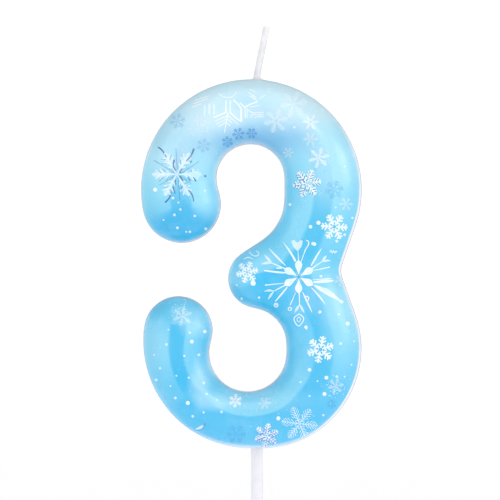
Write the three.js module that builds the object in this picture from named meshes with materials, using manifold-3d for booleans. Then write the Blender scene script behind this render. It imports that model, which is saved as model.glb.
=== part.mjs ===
// A numeral birthday candle. A cast wax figure three with a pillowed front carries a thin printed film.
// A wax-coated cotton wick stands in its top, and a plastic stick pushes into a socket in its foot.
// Millimetres, +Z up. The origin is the centre of the stick's lower end, and the front faces -Y.

import * as THREE from 'three';
import { mergeVertices } from 'three/addons/utils/BufferGeometryUtils.js';
import Module from 'manifold-3d';

// The figure's outline, in X and Z. The stick's axis is X = 0 and the foot is Z = 0.
const figureHeight = 75;
const upperBowl = { radius: 22.45, x: -1.15 };
const lowerBowlLeft = { radius: 21.8, x: -1.35 };
const lowerBowlRight = { radius: 20.3, x: 0.95 };
const upperEnd = { radius: 8, degrees: 191.3 };
const lowerEnd = { radius: 7, degrees: 171.8 };
const topStroke = 13.2;
const bottomStroke = 11.5;
const middleStroke = 12.1;
const nose = { x: 0.15, drop: 1.5 };
const waist = { radius: 3.4, standoff: 1.4 };
const upperBay = { cornerRadius: 10.35, rightX: 5.55 };
const lowerBay = { cornerRadius: 7.45, rightX: 5.95 };

// The figure's section, from its flat back to the crown of its front.
const backRound = 1.5;
const wallDepth = 4.6;
const domeHeight = 6;
const domeFullness = 2.15;
const crownFraction = 0.88;

// The printed film on the front.
const filmGap = 0.1;
const filmThickness = 0.12;
const filmFirstRing = 2;

// The stick and its socket.
const stickRadius = 1.25;
const stickExposed = 50;
const stickChamfer = 0.2;
const socketDepth = 8.5;
const socketClearance = 0.1;
const socketEndGap = 0.3;
const socketToDome = 0.25;

// The wick: a cotton braid, cast into the figure at its root and coated with wax above it.
const braidRadius = 0.46;
const braidBoreClearance = 0.06;
const braidRootDepth = 11;
const braidRootProud = 0.1;
const coatGap = 0.05;
const coatThickness = 0.23;
const wickLength = 10.15;
const wickLean = 10.5;
const wickPivotRise = 0.8;

// How finely the surfaces are divided.
const outlineStep = 2.6;
const outlineTurn = THREE.MathUtils.degToRad(17);
const shortestEdge = 0.4;
const tangentSlack = 0.02;
const domeRings = 7;
const roundRings = 2;
const roundSides = 24;
const smallestDepth = 1e-6;
const mergeDistance = 1e-4;

// Colours and roughnesses of the materials.
const looks = {
  wax: { color: 0xe3ecf5, roughness: 0.45 },
  print: { color: 0x6cc4f2, roughness: 0.3 },
  plastic: { color: 0xf1eff5, roughness: 0.4 },
  cotton: { color: 0xf2f0ea, roughness: 0.9 },
  wickWax: { color: 0xefedf2, roughness: 0.4 },
};

// The outline is a belt drawn round circles, with the wax on its left.
// A bulge has wax inside it, and a hollow has wax outside it.
function bulge(x, z, radius) {
  return { x, z, radius, turn: 1 };
}

function hollow(x, z, radius) {
  return { x, z, radius, turn: -1 };
}

// A stroke's round end touches the rim of its bowl from the inside.
function strokeEnd(bowl, end) {
  const angle = THREE.MathUtils.degToRad(end.degrees);
  const reach = bowl.radius - end.radius;
  return bulge(bowl.x + reach * Math.cos(angle), bowl.z + reach * Math.sin(angle), end.radius);
}

// A bay's outer corner touches the stroke's end, the right stroke's inner edge, and the level inner edge of
// the top stroke (side 1) or the bottom stroke (side -1).
function outerCorner(end, rightX, level, side, bayHeight) {
  const reach = end.radius + tangentSlack;
  const across = rightX - end.x;
  const up = side * (level - end.z);
  const sum = across + up + reach;
  const touching = sum - Math.sqrt(sum ** 2 - across ** 2 - up ** 2 + reach ** 2);
  const radius = Math.min(touching, bayHeight / 2);
  return hollow(rightX - radius, level - side * radius, radius);
}

// A bay's inner corner lies between the right stroke and the middle stroke, and fits the bay's height.
function innerCorner(bay, level, side, bayHeight) {
  const radius = Math.min(bay.cornerRadius, bayHeight / 2);
  return hollow(bay.rightX - radius, level + side * radius, radius);
}

// Both corners of a bay, from the stroke's end inwards. In a low bay they are one and the same circle.
function bayCorners(end, bay, strokeLevel, middleLevel, side) {
  const bayHeight = side * (strokeLevel - middleLevel);
  const outer = outerCorner(end, bay.rightX, strokeLevel, side, bayHeight);
  const inner = innerCorner(bay, middleLevel, side, bayHeight);
  const apart = Math.hypot(outer.x - inner.x, outer.z - inner.z);
  return apart > tangentSlack ? [outer, inner] : [outer];
}

// The waist's hollow stands the same distance off both bowls, on the right.
function waistHollow(lower, upper) {
  const fromLower = lower.radius + waist.radius + waist.standoff;
  const fromUpper = upper.radius + waist.radius + waist.standoff;
  const dx = upper.x - lower.x;
  const dz = upper.z - lower.z;
  const span = Math.hypot(dx, dz);
  const along = (fromLower ** 2 - fromUpper ** 2 + span ** 2) / (2 * span);
  const aside = Math.sqrt(fromLower ** 2 - along ** 2);
  const x = lower.x + (dx * along + dz * aside) / span;
  const z = lower.z + (dz * along - dx * aside) / span;
  return hollow(x, z, waist.radius);
}

// The circles of the figure three, anticlockwise from the top as seen from the front.
function figureCircles() {
  const upper = bulge(upperBowl.x, figureHeight - upperBowl.radius, upperBowl.radius);
  const lowerLeft = bulge(lowerBowlLeft.x, lowerBowlLeft.radius, lowerBowlLeft.radius);
  const lowerRight = bulge(lowerBowlRight.x, lowerBowlRight.radius, lowerBowlRight.radius);
  const upperTip = strokeEnd(upper, upperEnd);
  const lowerTip = strokeEnd(lowerLeft, lowerEnd);
  const waistCircle = waistHollow(lowerRight, upper);
  const noseCircle = bulge(nose.x, waistCircle.z - nose.drop, middleStroke / 2);
  const middleTop = noseCircle.z + noseCircle.radius;
  const middleFoot = noseCircle.z - noseCircle.radius;
  return [
    upper,
    upperTip,
    ...bayCorners(upperTip, upperBay, figureHeight - topStroke, middleTop, 1),
    noseCircle,
    ...bayCorners(lowerTip, lowerBay, bottomStroke, middleFoot, -1).reverse(),
    lowerTip,
    lowerLeft,
    lowerRight,
    waistCircle,
  ];
}

// The heading of the straight stretch from one circle of the belt to the next.
function headingBetween(from, to) {
  const dx = to.x - from.x;
  const dz = to.z - from.z;
  const lean = to.turn * to.radius - from.turn * from.radius;
  const straight = Math.sqrt(Math.max(0, dx * dx + dz * dz - lean * lean));
  return Math.atan2(dz, dx) - Math.atan2(lean, straight);
}

// A point of the belt on a circle, with the direction into the wax.
function beltPoint(circle, heading) {
  const inward = new THREE.Vector2(-Math.sin(heading), Math.cos(heading));
  const place = new THREE.Vector2(circle.x, circle.z);
  place.addScaledVector(inward, -circle.turn * circle.radius);
  return { place, inward };
}

// The belt's points in order, evenly spaced along arcs and straights.
function traceBelt(circles) {
  const points = [];
  const add = (point) => {
    const last = points.at(-1);
    if (!last || last.place.distanceTo(point.place) > shortestEdge) points.push(point);
  };
  circles.forEach((circle, index) => {
    const before = circles.at(index - 1);
    const after = circles[(index + 1) % circles.length];
    const arrival = headingBetween(before, circle);
    const departure = headingBetween(circle, after);
    const fullTurn = 2 * Math.PI;
    const signedTurn = circle.turn * (departure - arrival);
    const sweep = circle.turn * THREE.MathUtils.euclideanModulo(signedTurn, fullTurn);
    const arcStep = Math.min(outlineStep, circle.radius * outlineTurn);
    const arcParts = Math.ceil(Math.abs(sweep) * circle.radius / arcStep);
    for (let part = 0; part <= arcParts; part += 1) {
      add(beltPoint(circle, arrival + sweep * part / arcParts));
    }
    const start = beltPoint(circle, departure);
    const end = beltPoint(after, departure);
    const straightParts = Math.ceil(start.place.distanceTo(end.place) / outlineStep);
    for (let part = 1; part < straightParts; part += 1) {
      add({ place: start.place.clone().lerp(end.place, part / straightParts), inward: start.inward });
    }
  });
  if (points.at(-1).place.distanceTo(points[0].place) < shortestEdge) points.pop();
  return points;
}

// Half the stroke's width at a point: the largest circle in the wax that touches the outline there.
function halfWidth(point, outline) {
  let radius = Infinity;
  for (const other of outline) {
    const across = other.place.clone().sub(point.place);
    const depth = across.dot(point.inward);
    if (depth > smallestDepth) radius = Math.min(radius, across.lengthSq() / (2 * depth));
  }
  return radius;
}

// The outline with the stroke's half width at each point, evened between neighbours.
function figureOutline() {
  const outline = traceBelt(figureCircles());
  const raw = outline.map((point) => halfWidth(point, outline));
  return outline.map((point, index) => {
    const before = raw.at(index - 1);
    const after = raw[(index + 1) % raw.length];
    return { ...point, width: (before + 2 * raw[index] + after) / 4 };
  });
}

// The side wall runs back from the dome's foot, in Y.
const socketRadius = stickRadius + socketClearance;
const domeFoot = -(socketRadius + socketToDome);
const wallBack = domeFoot + wallDepth;

// The figure's foot and top, in Z.
const footLevel = stickExposed;
const topLevel = footLevel + figureHeight;

// A ring at one depth, moved into the wax by a distance that may differ from point to point.
function ringAt(outline, inset, depth) {
  return outline.map((point, index) => {
    const place = point.place.clone().addScaledVector(point.inward, inset(point, index));
    return new THREE.Vector3(place.x, depth, footLevel + place.y);
  });
}

// The rounded edge round the flat back.
function backRings(outline) {
  const rings = [];
  for (let part = 0; part <= roundRings; part += 1) {
    const angle = Math.PI / 2 * part / roundRings;
    const inset = backRound * (1 - Math.sin(angle));
    rings.push(ringAt(outline, () => inset, wallBack + backRound * Math.cos(angle)));
  }
  return rings;
}

// One ring of the pillowed front, standing off the wax by a distance along the surface's own normal.
function domeRing(outline, part, standoff) {
  const lastAngle = Math.acos((1 - crownFraction) ** (domeFullness / 2));
  const angle = lastAngle * part / domeRings;
  const run = Math.cos(angle) ** (2 / domeFullness);
  const rise = Math.sin(angle) ** (2 / domeFullness);
  return outline.map((point) => {
    const outward = run ** (domeFullness - 1) / point.width;
    const forward = rise ** (domeFullness - 1) / domeHeight;
    const slope = Math.hypot(outward, forward);
    const inset = point.width * (1 - run) - standoff * outward / slope;
    const place = point.place.clone().addScaledVector(point.inward, inset);
    const depth = domeFoot - domeHeight * rise - standoff * forward / slope;
    return new THREE.Vector3(place.x, depth, footLevel + place.y);
  });
}

// The dome's rings from a given one up to the crown.
function domeRun(outline, firstPart, standoff) {
  const rings = [];
  for (let part = firstPart; part <= domeRings; part += 1) rings.push(domeRing(outline, part, standoff));
  return rings;
}

// A closed solid through rings of equal count, flat at its first and last ring.
function solidThroughRings(rings) {
  const count = rings[0].length;
  const positions = rings.flat().flatMap((point) => [point.x, point.y, point.z]);
  const cap = (ring) => THREE.ShapeUtils.triangulateShape(ring.map((p) => new THREE.Vector2(p.x, p.z)), []);
  const indices = [];
  for (const [a, b, c] of cap(rings[0])) indices.push(c, b, a);
  for (let ring = 0; ring + 1 < rings.length; ring += 1) {
    for (let side = 0; side < count; side += 1) {
      const a = ring * count + side;
      const b = ring * count + (side + 1) % count;
      indices.push(a, b, b + count, a, b + count, a + count);
    }
  }
  const last = (rings.length - 1) * count;
  for (const [a, b, c] of cap(rings.at(-1))) indices.push(last + a, last + b, last + c);
  const geometry = new THREE.BufferGeometry();
  geometry.setAttribute('position', new THREE.Float32BufferAttribute(positions, 3));
  geometry.setIndex(indices);
  return geometry;
}

// A closed turned piece on the Z axis, from pairs of radius and height that start and end on the axis.
function turned(profile) {
  const points = profile.map(([radius, height]) => new THREE.Vector2(radius, height));
  return new THREE.LatheGeometry(points, roundSides).rotateX(Math.PI / 2);
}

function turnedRod(radius, from, to) {
  return turned([[0, from], [radius, from], [radius, to], [0, to]]);
}

const wasm = await Module();
wasm.setup();

function toSolid(geometry) {
  const plain = geometry.clone();
  plain.deleteAttribute('normal');
  plain.deleteAttribute('uv');
  const merged = mergeVertices(plain, mergeDistance);
  const vertProperties = new Float32Array(merged.attributes.position.array);
  const triVerts = new Uint32Array(merged.index.array);
  return new wasm.Manifold(new wasm.Mesh({ numProp: 3, vertProperties, triVerts }));
}

function toGeometry(solid) {
  const mesh = solid.getMesh();
  const geometry = new THREE.BufferGeometry();
  geometry.setAttribute('position', new THREE.BufferAttribute(mesh.vertProperties, 3));
  geometry.setIndex(new THREE.BufferAttribute(mesh.triVerts, 1));
  return geometry;
}

// The cast wax: rings from the flat back to the crown, with the stick's socket and the wick's bore cut out.
function figureWax(outline) {
  const body = toSolid(solidThroughRings([...backRings(outline), ...domeRun(outline, 0, 0)]));
  const socket = toSolid(turnedRod(socketRadius, footLevel - socketDepth, footLevel + socketDepth));
  const boreRadius = braidRadius + braidBoreClearance;
  const boreFloor = topLevel - braidRootDepth - socketEndGap;
  const bore = toSolid(turnedRod(boreRadius, boreFloor, topLevel + braidRootDepth));
  return toGeometry(body.subtract(socket).subtract(bore));
}

// The film starts part of the way up the dome, so its trimmed edge leaves a line of bare wax all round.
function printedFilm(outline) {
  const inside = domeRun(outline, filmFirstRing, filmGap).reverse();
  const outside = domeRun(outline, filmFirstRing, filmGap + filmThickness);
  return solidThroughRings([...inside, ...outside]);
}

// The stick stops short of the socket's end, and both its ends are chamfered.
function stick() {
  const top = footLevel + socketDepth - socketEndGap;
  const flat = stickRadius - stickChamfer;
  return turned([
    [0, 0],
    [flat, 0],
    [stickRadius, stickChamfer],
    [stickRadius, top - stickChamfer],
    [flat, top],
    [0, top],
  ]);
}

// The sleeve of wax round the free braid, square-cut at its tip.
function wickCoat() {
  const inner = braidRadius + coatGap;
  const outer = inner + coatThickness;
  return turned([[inner, 0], [outer, 0], [outer, wickLength], [inner, wickLength], [inner, 0]]);
}

function addPiece(group, name, geometry, look) {
  const material = new THREE.MeshStandardMaterial({ ...look, metalness: 0 });
  const mesh = new THREE.Mesh(geometry, material);
  mesh.name = name;
  group.add(mesh);
}

const outline = figureOutline();
const candle = new THREE.Group();
addPiece(candle, 'figure_wax', figureWax(outline), looks.wax);
addPiece(candle, 'printed_film', printedFilm(outline), looks.print);
addPiece(candle, 'stick', stick(), looks.plastic);
const wickRoot = turnedRod(braidRadius, topLevel - braidRootDepth, topLevel + braidRootProud);
addPiece(candle, 'wick_root', wickRoot, looks.cotton);

// The wick above the wax leans to the right from its pivot.
const wick = new THREE.Group();
wick.position.set(0, 0, topLevel + wickPivotRise);
wick.rotation.y = THREE.MathUtils.degToRad(wickLean);
addPiece(wick, 'wick_braid', turnedRod(braidRadius, 0, wickLength), looks.cotton);
addPiece(wick, 'wick_coat', wickCoat(), looks.wickWax);
candle.add(wick);

export default candle;
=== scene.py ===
# The looks of a numeral birthday candle: printed wax figure, plastic stick and waxed cotton wick.
import math
import bmesh
import bpy
import numpy as np
from mathutils import Matrix, Vector


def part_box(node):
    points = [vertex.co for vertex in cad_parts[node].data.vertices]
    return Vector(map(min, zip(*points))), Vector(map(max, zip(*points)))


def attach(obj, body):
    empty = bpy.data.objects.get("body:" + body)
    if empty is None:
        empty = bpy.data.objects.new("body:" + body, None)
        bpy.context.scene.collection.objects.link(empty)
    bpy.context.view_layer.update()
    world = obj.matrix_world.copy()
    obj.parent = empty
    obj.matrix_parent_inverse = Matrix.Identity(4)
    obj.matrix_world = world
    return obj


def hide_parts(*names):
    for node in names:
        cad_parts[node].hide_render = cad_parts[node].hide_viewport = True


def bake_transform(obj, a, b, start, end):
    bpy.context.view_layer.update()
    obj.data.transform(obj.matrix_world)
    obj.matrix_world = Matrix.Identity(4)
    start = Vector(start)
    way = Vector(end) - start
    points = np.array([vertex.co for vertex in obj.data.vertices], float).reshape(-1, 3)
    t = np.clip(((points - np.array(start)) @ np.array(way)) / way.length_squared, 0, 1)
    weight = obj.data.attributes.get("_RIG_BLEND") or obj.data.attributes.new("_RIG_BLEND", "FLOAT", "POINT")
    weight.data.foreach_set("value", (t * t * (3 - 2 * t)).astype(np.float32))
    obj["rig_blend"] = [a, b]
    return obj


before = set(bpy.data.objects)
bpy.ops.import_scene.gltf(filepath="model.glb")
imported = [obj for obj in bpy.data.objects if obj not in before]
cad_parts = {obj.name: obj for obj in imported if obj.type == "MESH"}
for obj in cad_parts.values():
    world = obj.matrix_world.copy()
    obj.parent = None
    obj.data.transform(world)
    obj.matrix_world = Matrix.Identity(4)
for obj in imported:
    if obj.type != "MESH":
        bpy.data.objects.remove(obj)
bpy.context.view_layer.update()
mm = 0.001

waxLow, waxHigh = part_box("figure_wax")
foot = waxLow.z
top = foot + 75 * mm
figureBack = waxHigh.y
print("frame loaded")


# Small helpers for nodes and meshes

def socketOf(bundle, key):
    if isinstance(key, int):
        return bundle[key]
    return next(s for s in bundle if s.name == key and s.enabled)


def addNode(tree, kind, wires=None, **settings):
    node = tree.nodes.new(kind)
    for name, value in settings.items():
        setattr(node, name, value)
    for key, value in (wires or {}).items():
        target = socketOf(node.inputs, key)
        if isinstance(value, bpy.types.NodeSocket):
            tree.links.new(value, target)
        else:
            target.default_value = value
    return node


def out(node, key=0):
    return socketOf(node.outputs, key)


def mathNode(tree, operation, a, b=0.0, clamp=False):
    return out(addNode(tree, "ShaderNodeMath", {0: a, 1: b}, operation=operation, use_clamp=clamp))


def times(tree, a, b):
    return mathNode(tree, "MULTIPLY", a, b)


def mapRange(tree, value, low, high, first=0.0, last=1.0, smooth=True):
    wires = {"Value": value, "From Min": low, "From Max": high, "To Min": first, "To Max": last}
    kind = "SMOOTHSTEP" if smooth else "LINEAR"
    return out(addNode(tree, "ShaderNodeMapRange", wires, interpolation_type=kind))


def vectorNode(tree, operation, a, b=(0, 0, 0)):
    node = addNode(tree, "ShaderNodeVectorMath", {0: a, 1: b}, operation=operation)
    return out(node, "Value") if operation in ("LENGTH", "DISTANCE", "DOT_PRODUCT") else out(node)


def mixColour(tree, share, a, b, blend="MIX"):
    node = addNode(tree, "ShaderNodeMix", data_type="RGBA", blend_type=blend)
    for key, value in ((0, share), (6, a), (7, b)):
        if isinstance(value, bpy.types.NodeSocket):
            tree.links.new(value, node.inputs[key])
        else:
            node.inputs[key].default_value = value
    return node.outputs[2]


def ramp(tree, value, stops):
    node = addNode(tree, "ShaderNodeValToRGB", {0: value})
    elements = node.color_ramp.elements
    for place, colour in stops[2:]:
        elements.new(place)
    for element, (place, colour) in zip(elements, stops):
        element.position = place
    for element, (place, colour) in zip(elements, stops):
        element.color = (*colour, 1) if len(colour) == 3 else colour
    return out(node)


def newMaterial(name):
    material = bpy.data.materials.new(name)
    material.use_nodes = True
    shader = material.node_tree.nodes["Principled BSDF"]
    return material, material.node_tree, shader


def objectPlace(tree):
    return out(addNode(tree, "ShaderNodeTexCoord"), "Object")


def noiseAt(tree, place, scale, detail=3.0, roughness=0.5):
    node = addNode(tree, "ShaderNodeTexNoise", {"Vector": place, "Scale": scale, "Detail": detail,
                                                "Roughness": roughness})
    return out(node)


def bumpInto(tree, shader, height, distance, strength):
    bump = addNode(tree, "ShaderNodeBump", {"Height": height, "Distance": distance, "Strength": strength})
    tree.links.new(out(bump), shader.inputs["Normal"])


def roughnessFrom(tree, shader, value, low, high):
    stops = [(0.3, (low,) * 3), (0.7, (high,) * 3)]
    tree.links.new(ramp(tree, value, stops), shader.inputs["Roughness"])


# Lets light a little way into a material.
def giveDepth(shader, weight, radius, scale):
    shader.inputs["Subsurface Weight"].default_value = weight
    shader.inputs["Subsurface Radius"].default_value = radius
    shader.inputs["Subsurface Scale"].default_value = scale


def meshObject(name, points, faces, edges=()):
    mesh = bpy.data.meshes.new(name)
    mesh.from_pydata([tuple(p) for p in points], list(edges), faces)
    obj = bpy.data.objects.new(name, mesh)
    bpy.context.scene.collection.objects.link(obj)
    return obj


# Merges doubles, turns faces outward, and keeps edges sharper than the angle crisp.
def finishMesh(obj, sharpDegrees=40):
    work = bmesh.new()
    work.from_mesh(obj.data)
    bmesh.ops.remove_doubles(work, verts=work.verts, dist=1e-7)
    bmesh.ops.recalc_face_normals(work, faces=work.faces)
    bmesh.ops.triangulate(work, faces=[f for f in work.faces if len(f.verts) > 4])
    work.to_mesh(obj.data)
    work.free()
    obj.data.polygons.foreach_set("use_smooth", [True] * len(obj.data.polygons))
    obj.data.set_sharp_from_angle(angle=math.radians(sharpDegrees))
    return obj


def removeObject(obj):
    bpy.data.objects.remove(obj)


# A closed turned mesh about a vertical axis through (x, y), from (radius, height) pairs ending on the axis.
def turned(name, profile, sides, centre=(0, 0)):
    points, faces, rows = [], [], []
    for radius, height in profile:
        count = 1 if radius < 1e-9 else sides
        rows.append([len(points) + i for i in range(count)])
        for i in range(count):
            angle = 2 * math.pi * i / sides
            x, y = centre[0] + radius * math.cos(angle), centre[1] + radius * math.sin(angle)
            points.append((x, y, height))
    for low, high in zip(rows, rows[1:]):
        for i in range(sides):
            j = (i + 1) % sides
            if len(low) == 1 and len(high) == 1:
                continue
            if len(low) == 1:
                faces.append((low[0], high[j], high[i]))
            elif len(high) == 1:
                faces.append((low[i], low[j], high[0]))
            else:
                faces.append((low[i], low[j], high[j], high[i]))
    return meshObject(name, points, faces)


def dress(obj, material, body=None):
    obj.data.materials.clear()
    obj.data.materials.append(material)
    if body:
        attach(obj, body)
    return obj


# The figure's outline, fine and smooth, from the back edge of the CAD wall

figureShape = {
    "backRound": 1.5 * mm,
    "wallDepth": 4.6 * mm,
    "domeHeight": 6 * mm,
    "domeFullness": 2.15,
    "crownShare": 0.93,
    "outlineStep": 0.38 * mm,
    "nearestTouch": 2.5 * mm,
    "evenOver": 1.6 * mm,
    "backRings": 7,
    "wallRings": 3,
    "domeRings": 26,
    "filmStart": 17.0,
    "filmLateStart": 27.0,
    "filmShift": (0.8, -0.6),
    "shiftFrom": 4 * mm,
    "shiftTo": 14 * mm,
    "filmGap": 0.06 * mm,
    "filmThickness": 0.1 * mm,
}
wallBack = figureBack - figureShape["backRound"]
domeFoot = wallBack - figureShape["wallDepth"]


def cadRing(node, depth):
    work = bmesh.new()
    work.from_mesh(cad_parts[node].data)
    bmesh.ops.remove_doubles(work, verts=work.verts, dist=1e-6)
    onRing = {v for v in work.verts if abs(v.co.y - depth) < 1e-5}
    here = max(onRing, key=lambda v: v.co.z)
    walk, seen = [], set()
    while here is not None:
        walk.append((here.co.x, here.co.z))
        seen.add(here)
        options = [e.other_vert(here) for e in here.link_edges]
        options = [v for v in options if v in onRing and v not in seen]
        here = min(options, key=lambda v: v.co.x) if len(walk) == 1 else (options[0] if options else None)
    work.free()
    return np.array(walk)


# A closed Catmull-Rom curve through the points, cut into even steps.
def evenCurve(points, step):
    fine = []
    count = len(points)
    for i in range(count):
        p0, p1, p2, p3 = (points[(i + k) % count] for k in (-1, 0, 1, 2))
        knots = np.cumsum([0, *(np.linalg.norm(b - a) ** 0.5 for a, b in ((p0, p1), (p1, p2), (p2, p3)))])
        for t in np.linspace(knots[1], knots[2], 12, endpoint=False):
            a1 = (p0 * (knots[1] - t) + p1 * (t - knots[0])) / (knots[1] - knots[0])
            a2 = (p1 * (knots[2] - t) + p2 * (t - knots[1])) / (knots[2] - knots[1])
            a3 = (p2 * (knots[3] - t) + p3 * (t - knots[2])) / (knots[3] - knots[2])
            b1 = (a1 * (knots[2] - t) + a2 * (t - knots[0])) / (knots[2] - knots[0])
            b2 = (a2 * (knots[3] - t) + a3 * (t - knots[1])) / (knots[3] - knots[1])
            fine.append((b1 * (knots[2] - t) + b2 * (t - knots[1])) / (knots[2] - knots[1]))
    fine = np.array(fine + fine[:1])
    along = np.concatenate([[0], np.cumsum(np.linalg.norm(np.diff(fine, axis=0), axis=1))])
    places = np.linspace(0, along[-1], round(along[-1] / step), endpoint=False)
    return np.stack([np.interp(places, along, fine[:, k]) for k in (0, 1)], axis=1)


def evened(values, reach):
    offsets = np.arange(-3 * reach, 3 * reach + 1)
    weights = np.exp(-(offsets / reach) ** 2 / 2)
    shifted = [np.roll(values, -k, axis=0) for k in offsets]
    return sum(w * s for w, s in zip(weights, shifted)) / weights.sum()


# Half the stroke's width at each point: the largest circle in the wax that touches the outline there.
def halfWidths(outline, inward):
    across = outline[None, :, :] - outline[:, None, :]
    depth = np.einsum("ijk,ik->ij", across, inward)
    squared = (across ** 2).sum(axis=2)
    index = np.arange(len(outline))
    apart = np.abs(index[:, None] - index[None, :])
    apart = np.minimum(apart, len(outline) - apart) * figureShape["outlineStep"]
    usable = (depth > 1e-7) & (apart > figureShape["nearestTouch"])
    radius = np.where(usable, squared / np.where(usable, 2 * depth, 1), np.inf)
    return radius.min(axis=1)


outline = evenCurve(cadRing("figure_wax", wallBack), figureShape["outlineStep"])
ahead = np.roll(outline, -1, axis=0) - np.roll(outline, 1, axis=0)
inward = np.stack([-ahead[:, 1], ahead[:, 0]], axis=1)
inward /= np.linalg.norm(inward, axis=1)[:, None]
inward = evened(inward, 2)
inward /= np.linalg.norm(inward, axis=1)[:, None]
evenReach = max(1, round(figureShape["evenOver"] / figureShape["outlineStep"]))
halfWidth = evened(halfWidths(outline, inward), evenReach)
print("outline has", len(outline), "points, half widths", halfWidth.min(), halfWidth.max())


def ringAt(inset, depth):
    place = outline + inward * np.broadcast_to(inset, (len(outline),))[:, None]
    depths = np.broadcast_to(depth, (len(outline),))
    return np.stack([place[:, 0], depths, place[:, 1]], axis=1)


# One ring of the pillowed front at an angle from its foot, standing off along its own normal.
def domeRing(angle, standoff=0.0):
    fullness = figureShape["domeFullness"]
    height = figureShape["domeHeight"]
    run = np.cos(angle) ** (2 / fullness)
    rise = np.sin(angle) ** (2 / fullness)
    outward = run ** (fullness - 1) / halfWidth
    forward = rise ** (fullness - 1) / height
    slope = np.hypot(outward, forward)
    inset = halfWidth * (1 - run) - standoff * outward / slope
    return ringAt(inset, domeFoot - height * rise - standoff * forward / slope)


def domeAngles(first, count):
    last = math.acos((1 - figureShape["crownShare"]) ** (figureShape["domeFullness"] / 2))
    return np.linspace(first, last, count)


# A closed skin through rings of equal count, capped flat at both ends.
def skin(name, rings):
    count = len(outline)
    points = np.concatenate(rings)
    faces = [tuple(range(count))[::-1]]
    for ring in range(len(rings) - 1):
        for side in range(count):
            a = ring * count + side
            b = ring * count + (side + 1) % count
            faces.append((a, b, b + count, a + count))
    last = (len(rings) - 1) * count
    faces.append(tuple(range(last, last + count)))
    return meshObject(name, points, faces)


# The cast wax figure

waxBody = {
    "socketRadius": 1.35 * mm,
    "socketDepth": 8.5 * mm,
    "socketSides": 64,
    "colour": (0.74, 0.79, 0.88),
    "edgeShadeColour": (0.38, 0.44, 0.53),
    "bloomColour": (0.84, 0.87, 0.93),
    "roughness": (0.36, 0.5),
    "cloudScale": 140,
    "pitScale": 1500,
    "waveScale": 90,
    # from the dome's foot: where the painted grey shade band starts, is full, begins to fade and ends
    "edgeShadeBand": (-2.0 * mm, -1.0 * mm, -0.5 * mm, 0.1 * mm),
}


def makeWaxBody():
    rings = []
    turn = figureShape["backRound"]
    for part in np.linspace(0, math.pi / 2, figureShape["backRings"]):
        rings.append(ringAt(turn * (1 - math.sin(part)), wallBack + turn * math.cos(part)))
    for depth in np.linspace(wallBack, domeFoot, figureShape["wallRings"] + 1)[1:-1]:
        rings.append(ringAt(0, depth))
    for angle in domeAngles(0, figureShape["domeRings"]):
        rings.append(domeRing(angle))
    body = skin("figure_body", rings)
    finishMesh(body)
    low, high, radius = foot - 5 * mm, foot + waxBody["socketDepth"], waxBody["socketRadius"]
    cutter = turned("socketCutter", [(0, low), (radius, low), (radius, high), (0, high)],
                    waxBody["socketSides"])
    finishMesh(cutter)
    cut = body.modifiers.new("socket", "BOOLEAN")
    cut.operation = "DIFFERENCE"
    cut.solver = "EXACT"
    cut.object = cutter
    bpy.context.view_layer.update()
    shape = bpy.data.meshes.new_from_object(body.evaluated_get(bpy.context.evaluated_depsgraph_get()))
    body.modifiers.clear()
    body.data = shape
    removeObject(cutter)
    return finishMesh(body, 35)


# Pale cast wax, with painted shade that greys it in a band at its rim, cloudy with bloom, with fine pits and
# slow pour waves.
def waxMaterial(name, paintedRimShare):
    material, tree, shader = newMaterial(name)
    place = objectPlace(tree)
    clouds = noiseAt(tree, place, waxBody["cloudScale"], 4)
    pits = noiseAt(tree, place, waxBody["pitScale"], 2)
    waves = noiseAt(tree, vectorNode(tree, "MULTIPLY", place, (1, 1, 3)), waxBody["waveScale"], 2)
    depth = out(addNode(tree, "ShaderNodeSeparateXYZ", {0: place}), "Y")
    # painted shade: the wax greys in a band near the dome's foot, fading onto the wall
    start, full, fade, end = (domeFoot + part for part in waxBody["edgeShadeBand"])
    paintedRimMask = mapRange(tree, depth, start, full)
    wall = mapRange(tree, depth, fade, end, paintedRimShare, 0.0, smooth=False)
    pale = mixColour(tree, clouds, (*waxBody["colour"], 1), (*waxBody["bloomColour"], 1))
    colour = mixColour(tree, times(tree, paintedRimMask, wall), pale, (*waxBody["edgeShadeColour"], 1))
    tree.links.new(colour, shader.inputs["Base Color"])
    roughnessFrom(tree, shader, clouds, *waxBody["roughness"])
    height = mathNode(tree, "ADD", times(tree, waves, 3.0), times(tree, pits, 0.35))
    bumpInto(tree, shader, height, 0.05 * mm, 0.5)
    giveDepth(shader, 0.25, (1.0, 1.0, 1.2), 0.8 * mm)
    shader.inputs["IOR"].default_value = 1.44
    return material


castWax = waxMaterial("castWax", 0.9)
figureBody = makeWaxBody()
dress(figureBody, castWax, "figure")
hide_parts("figure_wax")
print("wax figure has", len(figureBody.data.polygons), "faces")


# The printed film: colour that drifts with height, soft deep and pale patches (some painted highlight and
# shade), painted highlight bands and rim reflection, and a satin gloss

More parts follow.
